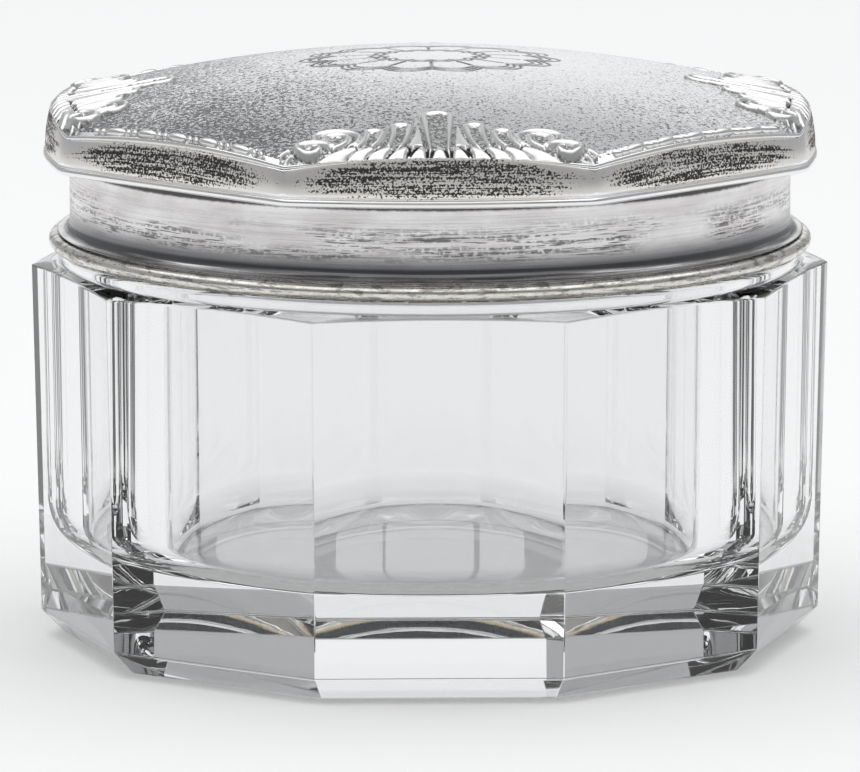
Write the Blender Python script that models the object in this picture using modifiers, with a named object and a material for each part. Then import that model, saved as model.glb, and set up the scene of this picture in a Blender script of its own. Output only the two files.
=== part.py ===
"""Powder jar: a ten-sided cut-glass body and a silver lid that lifts off.

Units are metres and +Z is up.  The origin is the centre of the glass base, on the surface
that the jar stands on.  -Y is the front, where one flat side of the glass and one of the
lid's four shells face.
"""

import math

import bmesh
import bpy
from mathutils import Matrix, Vector

MM = 0.001
GAP = 0.3 * MM                    # between pieces that touch
MERGE = 0.01 * MM                 # merge distance of every modifier and weld
UP = Vector((0.0, 0.0, 1.0))

# Glass body: a ten-sided block with a round neck, hollowed by a round cavity
GLASS_SIDES = 10
GLASS_R = 57.0 * MM               # corner radius at the top of the flat sides
GLASS_H = 53.65 * MM              # height of the corners of the flat sides
GLASS_LOW_R = 55.9 * MM           # corner radius above the foot chamfer
CHAMFER_H = 3.35 * MM
FOOT_R = 52.5 * MM                # corner radius of the face that it stands on
SHOULDER_SLOPE = 0.15             # rise of the shoulder towards the neck
STEP_R = 52.7 * MM                # low round step that the lid rests on
STEP_H = 56.1 * MM
STEP_ROUND = 0.8 * MM
NECK_R = 50.1 * MM
NECK_H = 68.4 * MM
LIP_ROUND = 1.2 * MM
CAVITY_R = 42.75 * MM
CAVITY_FLOOR = 13.4 * MM
CAVITY_ROUND = 4.5 * MM

# Lid
SHEET = 0.7 * MM                  # thickness of the struck sheet
SKIRT_IN = 50.6 * MM
SKIRT_OUT = 51.5 * MM
COVE_TOP = 60.6 * MM              # where the skirt begins to flare
COVE_FLARE = 1.8 * MM
BEAD_R = 54.5 * MM                # widest radius of the ring that ends the skirt
BEAD_H = 2.2 * MM
BEAD_BULGE = 1.3 * MM
SECTIONS = 8                      # bowed sides of the lid's outline
RIM_CORNER_R = 57.0 * MM
SHELL_SIDE_R = 55.2 * MM          # middle of the four sides that carry a shell
PLAIN_SIDE_R = 52.9 * MM          # middle of the four sides between them
RIM_LOW = 69.5 * MM               # underside of the rolled edge
ROLL_R = 1.0 * MM
BAND_TOP = 75.1 * MM              # top of the band at the corners
BAND_ARCH = 1.4 * MM              # how much higher it is between them
BAND_LEAN = 1.0 * MM
BAND_ROUND = 1.6 * MM             # width of the rounding from the band to the dome
DOME_R = 200.0 * MM               # spherical radius of the top
LID_H = 83.6 * MM                 # top of the dome
PLATE = 0.8 * MM                  # ring between the rolled edge and the skirt
PLATE_INSET = SHEET + GAP + 0.3 * MM

# Ornament on the lid
SHELL_HALF = 21.0 * MM            # half width of a shell along the rim
SHELL_TALL = 17.5 * MM            # how far a shell reaches in from the rim
FLUTES = 5                        # on each side of the middle one
FLUTE_HALF = 1.4 * MM             # half width of a flute
FLUTE_RISE = 1.1 * MM
FLUTE_FOOT = 0.5 * MM             # from the springing line to a flute's lower end
FOOT_SPREAD = 0.6 * SHELL_HALF    # from the middle to the outermost flute's lower end
FOOT_CROWDING = 1.2               # over 1, the lower ends crowd towards the middle
TIP_SPREAD = 0.8 * SHELL_HALF     # from the middle to the outermost flute's upper end
TIP_HIGH = 0.9 * SHELL_TALL       # how far in the flutes beside the middle one would reach
TIP_LOW = 0.5 * SHELL_TALL        # how far in the outermost flutes reach
SHELL_BASE_R = 53.6 * MM          # where a shell's flutes spring from
ROOT_HALF = 17.0 * MM             # half length of the rib that joins the flutes
ROOT_V = 2.8 * MM
ROOT_R = 1.0 * MM
SCROLL_R = 0.9 * MM               # radius of a scroll's rib
SCROLL_CENTRE = (17.6 * MM, 3.9 * MM)
SCROLL_RADII = (3.4 * MM, 0.9 * MM)
SCROLL_TURN = (190.0, -190.0)     # degrees, from the outer end to the inner one
SCROLL_STEPS = 14
BORDER_INSET = 2.0 * MM           # from the band's top edge to the reeded border
BORDER_R = 0.6 * MM
BORDER_HALF_ANGLE = math.radians(17.0)

# Smoothness
TURNED_STEPS = 60
LID_STEPS = 80                    # a multiple of eight, so that the corners get points
ARC_STEPS = 5

SECTION = 2.0 * math.pi / SECTIONS
PLATE_LOW = RIM_LOW + SHEET + GAP
BEAD_LOW = STEP_H + GAP
SKIRT_LOW = BEAD_LOW + BEAD_H + GAP

SILVER = (0.72, 0.71, 0.69)
DARK_SILVER = (0.46, 0.45, 0.44)


def empty_scene():
    for obj in list(bpy.data.objects):
        bpy.data.objects.remove(obj, do_unlink=True)


def new_collection(name):
    collection = bpy.data.collections.new(name)
    bpy.context.scene.collection.children.link(collection)
    return collection


def material(name, colour, roughness, metallic=1.0, transmission=0.0):
    made = bpy.data.materials.new(name)
    made.use_nodes = True
    shader = made.node_tree.nodes["Principled BSDF"]
    shader.inputs["Base Color"].default_value = (*colour, 1.0)
    shader.inputs["Roughness"].default_value = roughness
    shader.inputs["Metallic"].default_value = metallic
    shader.inputs["Transmission Weight"].default_value = transmission
    made.diffuse_color = (*colour, 1.0)
    return made


def smooth(mesh, angle=30.0):
    mesh.shade_smooth()
    mesh.set_sharp_from_angle(angle=math.radians(angle))


def place(mesh, name, collection, look=None):
    obj = bpy.data.objects.new(name, mesh)
    collection.objects.link(obj)
    if look:
        mesh.materials.append(look)
    return obj


def mesh_from(bm, name):
    bm.normal_update()
    mesh = bpy.data.meshes.new(name)
    bm.to_mesh(mesh)
    bm.free()
    return mesh


def arc(centre, radii, start, end, steps=ARC_STEPS):
    """Points in the XZ plane from angle start to end, in degrees from +X towards +Z."""
    points = []
    for i in range(steps + 1):
        angle = math.radians(start + (end - start) * i / steps)
        x = centre[0] + radii[0] * math.cos(angle)
        z = centre[1] + radii[1] * math.sin(angle)
        points.append((x, z))
    return points


def turned(name, profile, steps, collection, look=None, closed=False):
    """A profile at +X, spun round Z by a Screw modifier."""
    bm = bmesh.new()
    verts = [bm.verts.new((x, 0.0, z)) for x, z in profile]
    for a, b in zip(verts, verts[1:]):
        bm.edges.new((a, b))
    if closed:
        bm.edges.new((verts[-1], verts[0]))
    obj = place(mesh_from(bm, name), name, collection, look)
    screw = obj.modifiers.new("Turn", "SCREW")
    screw.axis = "Z"
    screw.angle = 2.0 * math.pi
    screw.steps = steps
    screw.render_steps = steps
    screw.use_merge_vertices = True
    screw.merge_threshold = MERGE
    screw.use_smooth_shade = steps > GLASS_SIDES
    return obj


def boolean(obj, cutter, operation, use_self=False):
    step = obj.modifiers.new(operation.title(), "BOOLEAN")
    step.operation = operation
    step.object = cutter
    step.solver = "EXACT"
    step.use_self = use_self


def as_cutter(obj):
    obj.hide_render = True
    obj.display_type = "WIRE"
    return obj


# Glass body

def glass_block(cutters):
    """The ten flat sides, their taper and the chamfer at the foot, open at the neck's height."""
    taper = (GLASS_R - GLASS_LOW_R) / (GLASS_H - CHAMFER_H)
    high = NECK_H + 10.0 * MM
    high_r = GLASS_R + (high - GLASS_H) * taper
    profile = [(0.0, high), (high_r, high), (GLASS_LOW_R, CHAMFER_H), (FOOT_R, 0.0), (0.0, 0.0)]
    return as_cutter(turned("glass_block", profile, GLASS_SIDES, cutters))


def glass_body(parts, cutters):
    far = GLASS_R + 5.0 * MM
    shoulder_in = GLASS_H + (GLASS_R - STEP_R) * SHOULDER_SLOPE
    shoulder_out = GLASS_H + (GLASS_R - far) * SHOULDER_SLOPE
    flat = CAVITY_R - CAVITY_ROUND
    lip = LIP_ROUND
    profile = [(0.0, CAVITY_FLOOR)]
    profile += arc((flat, CAVITY_FLOOR + CAVITY_ROUND), (CAVITY_ROUND, CAVITY_ROUND), -90, 0)
    profile += arc((CAVITY_R + lip, NECK_H - lip), (lip, lip), 180, 90, 3)
    profile += arc((NECK_R - lip, NECK_H - lip), (lip, lip), 90, 0, 3)
    profile += [(NECK_R, STEP_H)]
    profile += arc((STEP_R - STEP_ROUND, STEP_H - STEP_ROUND), (STEP_ROUND, STEP_ROUND), 90, 0, 3)
    profile += [(STEP_R, shoulder_in), (far, shoulder_out), (far, -far), (0.0, -far)]
    look = material("lead_crystal", (0.93, 0.95, 0.95), 0.02, 0.0, 1.0)
    look.node_tree.nodes["Principled BSDF"].inputs["IOR"].default_value = 1.55
    body = turned("glass_body", profile, TURNED_STEPS, parts, look)
    boolean(body, glass_block(cutters), "INTERSECT")
    return body


# Lid

def dome_height(radius):
    return LID_H - DOME_R + math.sqrt(DOME_R ** 2 - radius ** 2)


def section_place(angle):
    """The index of the lid's side at an angle, and -1..1 across it from corner to corner."""
    index = round(angle / SECTION)
    return index, (angle - index * SECTION) / (SECTION / 2.0)


def rim_radius(angle):
    """Plan radius of the lid's edge: an octagon with bowed sides, four of them fuller."""
    index, across = section_place(angle)
    middle = SHELL_SIDE_R if index % 2 == 0 else PLAIN_SIDE_R
    chord = RIM_CORNER_R * math.cos(SECTION / 2.0)
    bow = (middle - chord) * (1.0 - across ** 2)
    return chord / math.cos(across * SECTION / 2.0) + bow


def band_top(angle):
    return BAND_TOP + BAND_ARCH * (1.0 - section_place(angle)[1] ** 2)


def lid_profile(angle):
    """Outer side of the lid at one angle, from the apex out and down to the rolled edge."""
    rim = rim_radius(angle)
    edge = rim - BAND_LEAN
    top = band_top(angle)
    shoulder = edge - BAND_ROUND
    points = [(shoulder * part, dome_height(shoulder * part)) for part in (0.3, 0.6, 0.85, 1.0)]
    fall = dome_height(shoulder) - top
    points.append((edge - 0.35 * BAND_ROUND, top + 0.55 * fall))
    points.append((edge, top))
    points += arc((rim - ROLL_R, RIM_LOW + ROLL_R), (ROLL_R, ROLL_R), 0, -90, 3)
    return points


def lid_surface(name, offset=0.0, closed=False):
    """Loft from the round apex to the bowed octagon of the rim, moved outwards by offset."""
    bm = bmesh.new()
    apex = bm.verts.new((0.0, 0.0, LID_H + offset))
    columns = []
    for i in range(LID_STEPS):
        angle = 2.0 * math.pi * i / LID_STEPS
        column = []
        points = lid_profile(angle)
        for j, (radius, height) in enumerate(points):
            before = points[j - 1] if j else (0.0, LID_H)
            after = points[min(j + 1, len(points) - 1)]
            normal = Vector((before[1] - after[1], after[0] - before[0])).normalized()
            radius += offset * normal.x
            height += offset * normal.y
            column.append(bm.verts.new((radius * math.cos(angle), radius * math.sin(angle), height)))
        columns.append(column)
    for i, column in enumerate(columns):
        following = columns[(i + 1) % LID_STEPS]
        bm.faces.new((apex, column[0], following[0]))
        for j in range(len(column) - 1):
            bm.faces.new((column[j], column[j + 1], following[j + 1], following[j]))
    if closed:
        bm.faces.new([column[-1] for column in reversed(columns)])
    return mesh_from(bm, name)


def lid_dome(parts):
    """The struck top in one sheet: dome, band and rolled edge."""
    mesh = lid_surface("lid_dome")
    smooth(mesh)
    dome = place(mesh, "lid_dome", parts, material("dome_silver", SILVER, 0.28))
    sheet = dome.modifiers.new("Sheet", "SOLIDIFY")
    sheet.thickness = SHEET
    sheet.offset = -1.0
    return dome


def lid_rim_plate(parts):
    """Flat ring that closes the space between the rolled edge and the skirt."""
    bm = bmesh.new()
    rings = []
    for height in (PLATE_LOW, PLATE_LOW + PLATE):
        outer = []
        inner = []
        for i in range(LID_STEPS):
            angle = 2.0 * math.pi * i / LID_STEPS
            radius = rim_radius(angle) - PLATE_INSET
            outer.append(bm.verts.new((radius * math.cos(angle), radius * math.sin(angle), height)))
            inner.append(bm.verts.new((SKIRT_IN * math.cos(angle), SKIRT_IN * math.sin(angle), height)))
        rings.append((outer, inner))
    (low_out, low_in), (high_out, high_in) = rings
    for i in range(LID_STEPS):
        j = (i + 1) % LID_STEPS
        bm.faces.new((low_out[i], low_out[j], high_out[j], high_out[i]))
        bm.faces.new((low_in[j], low_in[i], high_in[i], high_in[j]))
        bm.faces.new((high_out[i], high_out[j], high_in[j], high_in[i]))
        bm.faces.new((low_out[j], low_out[i], low_in[i], low_in[j]))
    return place(mesh_from(bm, "lid_rim_plate"), "lid_rim_plate", parts,
                 material("plate_silver", DARK_SILVER, 0.4))


def lid_skirt(parts):
    """Tube that slides over the glass neck, flared at its foot."""
    top = PLATE_LOW - GAP
    drop = COVE_TOP - SKIRT_LOW
    profile = [(SKIRT_OUT, top)]
    profile += arc((SKIRT_OUT + COVE_FLARE, COVE_TOP), (COVE_FLARE, drop), 180, 270)
    profile += [(SKIRT_IN, SKIRT_LOW), (SKIRT_IN, top)]
    return turned("lid_skirt", profile, TURNED_STEPS, parts, material("skirt_silver", SILVER, 0.3), True)


def skirt_bead(parts):
    """Half-round ring soldered to the skirt's foot, which rests on the glass step."""
    middle = BEAD_LOW + BEAD_H / 2.0
    profile = [(SKIRT_IN, BEAD_LOW + BEAD_H)]
    profile += arc((BEAD_R - BEAD_BULGE, middle), (BEAD_BULGE, BEAD_H / 2.0), 90, -90, 6)
    profile += [(SKIRT_IN, BEAD_LOW)]
    return turned("skirt_bead", profile, TURNED_STEPS, parts, material("bead_silver", SILVER, 0.35), True)


# Ornament.  A shell is laid out in its own plan: u runs along the rim and v runs inwards
# from the line that its flutes spring from.

def on_dome(u, v):
    """A point of the front shell's plan, on the dome."""
    y = -(SHELL_BASE_R - v)
    return Vector((u, y, dome_height(math.hypot(u, y))))


def add_flute(bm, base, tip, half_width, half_height):
    """A long egg-shaped lobe lying on the dome from base to tip."""
    start = on_dome(*base)
    end = on_dome(*tip)
    along = (end - start).normalized()
    side = along.cross(UP).normalized()
    normal = side.cross(along)
    length = (end - start).length / 2.0
    turn = Matrix((normal * half_height, side * half_width, along * length)).transposed()
    frame = Matrix.Translation((start + end) / 2.0) @ turn.to_4x4()
    bmesh.ops.create_uvsphere(bm, u_segments=8, v_segments=6, radius=1.0, matrix=frame)


def tube_mesh(name, points, radius):
    """A closed mesh tube along points, made by a bevelled curve."""
    curve = bpy.data.curves.new(name, "CURVE")
    curve.dimensions = "3D"
    curve.bevel_depth = radius
    curve.bevel_resolution = 2
    curve.use_fill_caps = True
    spline = curve.splines.new("POLY")
    spline.points.add(len(points) - 1)
    for i, point in enumerate(points):
        spline.points[i].co = (*point, 1.0)
    guide = bpy.data.objects.new(name, curve)
    bpy.context.scene.collection.objects.link(guide)
    evaluated = guide.evaluated_get(bpy.context.evaluated_depsgraph_get())
    mesh = bpy.data.meshes.new_from_object(evaluated)
    bpy.data.objects.remove(guide, do_unlink=True)
    bm = bmesh.new()
    bm.from_mesh(mesh)
    bmesh.ops.remove_doubles(bm, verts=bm.verts, dist=MERGE)
    bm.to_mesh(mesh)
    bm.free()
    return mesh


def scroll_points():
    """The right-hand scroll, whose radius shrinks as it turns."""
    points = []
    for i in range(SCROLL_STEPS + 1):
        part = i / SCROLL_STEPS
        angle = math.radians(SCROLL_TURN[0] + (SCROLL_TURN[1] - SCROLL_TURN[0]) * part)
        reach = SCROLL_RADII[0] + (SCROLL_RADII[1] - SCROLL_RADII[0]) * part
        u = SCROLL_CENTRE[0] + reach * math.cos(angle)
        v = SCROLL_CENTRE[1] + reach * math.sin(angle)
        points.append(on_dome(u, v))
    return points


def root_points(steps=12):
    """The rib under the flutes' lower ends, which holds the shell together."""
    points = []
    for i in range(steps + 1):
        points.append(on_dome(ROOT_HALF * (2.0 * i / steps - 1.0), ROOT_V))
    return points


def flute_ends(index):
    """Lower and upper end of one of the fanned flutes, which get shorter towards the shell's sides."""
    part = index / FLUTES
    base = (FOOT_SPREAD * part ** FOOT_CROWDING, FLUTE_FOOT)
    tip = (TIP_SPREAD * part, TIP_HIGH + (TIP_LOW - TIP_HIGH) * part)
    return base, tip


def shell_mesh():
    """The front shell: a centre flute, flutes fanned to both sides and a scroll at each end."""
    bm = bmesh.new()
    add_flute(bm, (0.0, 0.0), (0.0, SHELL_TALL), 1.2 * FLUTE_HALF, FLUTE_RISE)
    for index in range(1, FLUTES + 1):
        base, tip = flute_ends(index)
        for side in (-1.0, 1.0):
            add_flute(bm, (side * base[0], base[1]), (side * tip[0], tip[1]), FLUTE_HALF, FLUTE_RISE)
    scroll = scroll_points()
    mirrored = [Vector((-point.x, point.y, point.z)) for point in scroll]
    bm.from_mesh(tube_mesh("scroll", scroll, SCROLL_R))
    bm.from_mesh(tube_mesh("scroll", mirrored, SCROLL_R))
    bm.from_mesh(tube_mesh("root", root_points(), ROOT_R))
    bmesh.ops.recalc_face_normals(bm, faces=bm.faces)
    mesh = mesh_from(bm, "shell")
    smooth(mesh, 50.0)
    return mesh


def shells(parts, clearance):
    """Four shells at the front, right, back and left."""
    for turn, side in enumerate(("front", "right", "back", "left")):
        mesh = shell_mesh()
        mesh.transform(Matrix.Rotation(turn * math.pi / 2.0, 4, "Z"))
        name = "shell_" + side
        shell = place(mesh, name, parts, material(name + "_silver", SILVER, 0.25))
        boolean(shell, clearance, "DIFFERENCE", True)


def reed_borders(parts, clearance):
    """The reeded strip on each plain side of the lid, just inside the band."""
    sides = ("front_right", "back_right", "back_left", "front_left")
    for turn, side in enumerate(sides):
        middle = (turn * 2.0 - 1.0) * SECTION
        points = []
        steps = 12
        for i in range(steps + 1):
            angle = middle + BORDER_HALF_ANGLE * (2.0 * i / steps - 1.0)
            radius = rim_radius(angle) - BAND_LEAN - BORDER_INSET
            points.append((radius * math.cos(angle), radius * math.sin(angle), dome_height(radius)))
        name = "reed_border_" + side
        mesh = tube_mesh(name, points, BORDER_R)
        border = place(mesh, name, parts, material(name + "_silver", DARK_SILVER, 0.35))
        boolean(border, clearance, "DIFFERENCE")


def build():
    empty_scene()
    parts = new_collection("powder_jar")
    cutters = new_collection("powder_jar_cutters")
    glass_body(parts, cutters)
    lid_skirt(parts)
    skirt_bead(parts)
    lid_rim_plate(parts)
    lid_dome(parts)
    clearance = as_cutter(place(lid_surface("lid_clearance", GAP, True), "lid_clearance", cutters))
    shells(parts, clearance)
    reed_borders(parts, clearance)


build()
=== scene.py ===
"""Looks of the powder jar: cut lead crystal and a silver lid with struck, chased and engraved ornament.

Units are metres and +Z is up.  -Y is the front.  Sizes come from the CAD frame, and the rest are in
millimetres multiplied by MM.
"""

import math

import bpy
import numpy as np
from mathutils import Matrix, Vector


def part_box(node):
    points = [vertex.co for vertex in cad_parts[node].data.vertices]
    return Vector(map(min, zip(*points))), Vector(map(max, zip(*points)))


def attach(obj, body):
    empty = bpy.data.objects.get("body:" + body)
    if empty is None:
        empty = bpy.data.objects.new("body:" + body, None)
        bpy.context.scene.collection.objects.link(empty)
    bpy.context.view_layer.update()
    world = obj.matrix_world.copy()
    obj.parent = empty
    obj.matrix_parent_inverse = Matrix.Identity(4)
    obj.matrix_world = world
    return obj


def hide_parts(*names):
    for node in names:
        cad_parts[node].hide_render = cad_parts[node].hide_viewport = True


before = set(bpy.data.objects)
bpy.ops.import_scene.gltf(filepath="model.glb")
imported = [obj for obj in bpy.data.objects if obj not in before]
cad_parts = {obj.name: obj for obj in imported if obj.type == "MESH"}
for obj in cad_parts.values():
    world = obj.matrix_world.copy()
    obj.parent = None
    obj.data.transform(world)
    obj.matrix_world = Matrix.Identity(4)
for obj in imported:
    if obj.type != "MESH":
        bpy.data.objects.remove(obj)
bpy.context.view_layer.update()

MM = 0.001
UP = np.array([0.0, 0.0, 1.0])

# Sizes read from the frame
GLASS_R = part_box("glass_body")[1].x
NECK_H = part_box("glass_body")[1].z
LID_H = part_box("lid_dome")[1].z
RIM_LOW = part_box("lid_dome")[0].z
SHELL_SIDE_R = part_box("lid_dome")[1].y
SKIRT_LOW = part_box("lid_skirt")[0].z
SKIRT_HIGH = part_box("lid_skirt")[1].z
BEAD_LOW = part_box("skirt_bead")[0].z
BEAD_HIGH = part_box("skirt_bead")[1].z
BEAD_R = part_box("skirt_bead")[1].x
PLATE_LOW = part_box("lid_rim_plate")[0].z
PLATE_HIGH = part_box("lid_rim_plate")[1].z

# Glass, as in the CAD part
GLASS_SIDES = 10
GLASS_H = 53.65 * MM
GLASS_LOW_R = 55.9 * MM
CHAMFER_H = 3.35 * MM
FOOT_R = 52.5 * MM
SHOULDER_SLOPE = 0.15
STEP_R = 52.7 * MM
STEP_H = 56.1 * MM
NECK_R = 50.1 * MM
CAVITY_R = 42.75 * MM
CAVITY_FLOOR = 13.4 * MM
CAVITY_ROUND = 4.5 * MM
CAVITY_CROWN = 0.15 * MM          # rise of the cavity's floor to its middle
EDGE_ROUND = 0.35 * MM            # softening of the cut edges
SIDE_POINTS = 26                  # mesh columns across one flat side

# Lid, as in the CAD part
SHEET = 0.7 * MM
SECTION = math.radians(45.0)
RIM_CORNER_R = 57.0 * MM
PLAIN_SIDE_R = 52.9 * MM
BAND_TOP = 75.1 * MM
BAND_ARCH = 1.4 * MM              # rise of the band's top between the corners
BAND_LEAN = 1.0 * MM
DOME_R = 200.0 * MM
SEAT = 1.9 * MM                   # width of the slope between the band's top edge and the dome
SKIRT_IN = 50.6 * MM
SKIRT_OUT = 51.5 * MM
COVE_TOP = 60.6 * MM              # where the skirt begins to flare
COVE_FLARE = 1.8 * MM
BEAD_BULGE = 1.3 * MM
PLATE_INSET = 1.3 * MM
LID_COLUMNS = 960                 # mesh columns round the lid's top
TURNED_COLUMNS = 480              # and round its turned pieces
CORNER_SOFTNESS = 1.6             # degrees over which a corner of the rim is rounded

# Marks that run round the lid
STRIP_R = 50.0 * MM
STRIP_SPREAD = 0.3                # how much of a point's radius counts as height


# ---------------------------------------------------------------- meshes

def build_mesh(name, verts, faces, shade=None):
    """A new object.  shade says for each face whether it is smooth; without it, all are."""
    mesh = bpy.data.meshes.new(name)
    mesh.from_pydata(verts, [], faces)
    mesh.polygons.foreach_set("use_smooth", shade or [True] * len(faces))
    mesh.update()
    obj = bpy.data.objects.new(name, mesh)
    bpy.context.scene.collection.objects.link(obj)
    return obj


def loft(name, rows, poles=(None, None), ring=False, flat=None):
    """Quads between rows of points (rows, columns, 3) that close round Z.

    poles gives the point that ends the first and the last row.  ring joins the last row to the
    first.  flat holds True for each quad (row, column) with flat shading."""
    rows = np.asarray(rows)
    count, columns = rows.shape[:2]
    verts = rows.reshape(-1, 3).tolist()
    index = np.arange(count * columns).reshape(count, columns)
    if ring:
        index = np.vstack([index, index[:1]])
    upper, lower = index[:-1], index[1:]
    quads = np.stack([upper, lower, np.roll(lower, -1, 1), np.roll(upper, -1, 1)], -1)
    faces = quads.reshape(-1, 4).tolist()
    shade = np.ones(quads.shape[:2], bool) if flat is None else ~flat
    shade = shade.reshape(-1).tolist()
    for pole, row, turn in ((poles[0], index[0], 1), (poles[1], index[-1], -1)):
        if pole is not None:
            verts.append(tuple(pole))
            following = np.roll(row, -1)
            for a, b in zip(row.tolist(), following.tolist()):
                faces.append((len(verts) - 1, a, b) if turn > 0 else (len(verts) - 1, b, a))
                shade.append(True)
    return build_mesh(name, verts, faces, shade)


def around(profile):
    """Rows of a turned shape from its (radius, height) profile."""
    angles = np.arange(TURNED_COLUMNS) * 2.0 * math.pi / TURNED_COLUMNS
    profile = np.asarray(profile)
    x = profile[:, :1] * np.cos(angles)
    y = profile[:, :1] * np.sin(angles)
    z = np.repeat(profile[:, 1:], TURNED_COLUMNS, 1)
    return np.stack([x, y, z], -1)


def arc(centre, radii, start, end, steps=8):
    """(radius, height) points of an arc, in degrees from outwards to up."""
    angles = np.radians(np.linspace(start, end, steps + 1))
    return [(centre[0] + radii[0] * math.cos(a), centre[1] + radii[1] * math.sin(a)) for a in angles]


def line(start, end, steps):
    return [tuple(p) for p in np.linspace(start, end, steps + 1)]


def attribute(obj, name, values):
    """Stores one number or one vector a vertex."""
    values = np.asarray(values, np.float32)
    kind = "FLOAT" if values.ndim == 1 else "FLOAT_VECTOR"
    stored = obj.data.attributes.new(name, kind, "POINT")
    stored.data.foreach_set("value" if values.ndim == 1 else "vector", values.reshape(-1))


def points_of(obj):
    co = np.empty(len(obj.data.vertices) * 3)
    obj.data.vertices.foreach_get("co", co)
    return co.reshape(-1, 3)


def strip_attribute(obj):
    """Each point's place on a tube of one radius, for marks that run round the lid."""
    x, y, z = points_of(obj).T
    angle = np.arctan2(y, x)
    up = z + STRIP_SPREAD * np.hypot(x, y)
    attribute(obj, "strip", np.stack([STRIP_R * np.cos(angle), STRIP_R * np.sin(angle), up], -1))


# ---------------------------------------------------------------- glass

def decagon(angles, corner_r):
    """Polar radius of the ten-sided plan at each angle, its corners rounded."""
    half = math.pi / GLASS_SIDES
    off = np.mod(angles + half, 2.0 * half) - half          # from the nearest corner
    flat = corner_r * math.cos(half) / np.cos(half - np.abs(off))
    centre = corner_r - EDGE_ROUND / math.cos(half)
    reach = EDGE_ROUND ** 2 - (centre * np.sin(off)) ** 2
    limit = math.atan2(EDGE_ROUND * math.sin(half), centre + EDGE_ROUND * math.cos(half))
    curved = centre * np.cos(off) + np.sqrt(np.maximum(reach, 0.0))
    return np.where(np.abs(off) <= limit + 1e-9, curved, flat)


def glass_columns():
    """Column angles, dense at each corner, and which columns start a flat part."""
    half = math.pi / GLASS_SIDES
    limit = math.atan2(EDGE_ROUND * math.sin(half), GLASS_R - EDGE_ROUND / math.cos(half)
                       + EDGE_ROUND * math.cos(half))
    angles = []
    flat = []
    for side in range(GLASS_SIDES):
        corner = side * 2.0 * half
        for i in range(-2, 2):
            angles.append(corner + limit * i / 2.0)
            flat.append(False)
        for i in range(SIDE_POINTS):
            angles.append(corner + limit + (2.0 * half - 2.0 * limit) * i / SIDE_POINTS)
            flat.append(True)
    return np.array(angles), np.array(flat)


def glass_body():
    """The block as rows of one mesh: cavity, lip, neck, step, shoulder, flat sides, chamfer and foot."""
    angles, flat_columns = glass_columns()
    cos, sin = np.cos(angles), np.sin(angles)
    rows = []
    flat_rows = []

    def add(radius, height, flat=False):
        radius = np.broadcast_to(radius, angles.shape)
        rows.append(np.stack([radius * cos, radius * sin, np.broadcast_to(height, angles.shape)], -1))
        flat_rows.append(flat)

    def cone(radius):
        return GLASS_H + (GLASS_R - radius) * SHOULDER_SLOPE

    taper = (GLASS_R - GLASS_LOW_R) / (GLASS_H - CHAMFER_H)
    soft = 0.25 * MM
    # cavity, from its floor up to the lip
    floor_r = CAVITY_R - CAVITY_ROUND
    for radius in (8.0 * MM, 16.0 * MM, 24.0 * MM, 31.0 * MM, 36.0 * MM):
        add(radius, CAVITY_FLOOR + CAVITY_CROWN * (1.0 - (radius / floor_r) ** 2))
    cove = (CAVITY_ROUND, CAVITY_ROUND)
    for radius, height in arc((floor_r, CAVITY_FLOOR + CAVITY_ROUND), cove, -90, 0, 16):
        add(radius, height)
    for part in (0.1, 0.3, 0.5, 0.7, 0.9):
        add(CAVITY_R, CAVITY_FLOOR + CAVITY_ROUND + (NECK_H - CAVITY_FLOOR - CAVITY_ROUND) * part)
    lip = 1.2 * MM
    for radius, height in arc((CAVITY_R + lip, NECK_H - lip), (lip, lip), 180, 90, 6):
        add(radius, height)
    for radius, height in arc((NECK_R - lip, NECK_H - lip), (lip, lip), 90, 0, 6):
        add(radius, height)
    # neck, low step and shoulder
    fillet = 0.6 * MM
    add(NECK_R, STEP_H + 2.0 * fillet)
    for radius, height in arc((NECK_R + fillet, STEP_H + fillet), (fillet, fillet), 180, 270, 4):
        add(radius, height)
    edge = 0.7 * MM
    for radius, height in arc((STEP_R - edge, STEP_H - edge), (edge, edge), 90, 0, 6):
        add(radius, height)
    root = 0.5 * MM
    for radius, height in arc((STEP_R + root, cone(STEP_R) + root), (root, root), 180, 262, 4):
        add(radius, height)
    plan = decagon(angles, GLASS_R)
    add(plan - soft, cone(plan - soft))
    add(plan - 0.3 * soft, cone(plan) - 0.25 * soft)
    add(plan - 0.02 * soft, cone(plan) - soft, True)
    # flat sides, chamfer and foot
    low = decagon(angles, GLASS_LOW_R)
    foot = decagon(angles, FOOT_R)
    slant = (low - foot) / CHAMFER_H
    add(low + soft * taper, CHAMFER_H + soft)
    add(low - 0.15 * soft * slant, CHAMFER_H - 0.1 * soft)
    add(low - soft * slant, CHAMFER_H - soft, True)
    add(foot + soft * slant, soft)
    add(foot - 0.1 * soft, 0.12 * soft)
    add(foot - soft, 0.0, True)
    add(foot * 0.6, 0.0, True)
    add(foot * 0.2, 0.0, True)
    flat = np.array(flat_rows[:-1])[:, None] & np.ones_like(flat_columns)[None, :]
    flat[flat_rows.index(True)] &= flat_columns             # the sides, between their rounded edges
    obj = loft("glass_body_cut", rows, poles=((0, 0, CAVITY_FLOOR + CAVITY_CROWN), (0, 0, 0)), flat=flat)
    obj.data.materials.append(glass_material())
    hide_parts("glass_body")
    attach(obj, "jar")


# ---------------------------------------------------------------- lid surface

def section_place(angle):
    """The index of the lid's side at each angle, and -1 to 1 across it from corner to corner."""
    index = np.round(angle / SECTION).astype(int)
    return index, (angle - index * SECTION) / (SECTION / 2.0)


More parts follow.
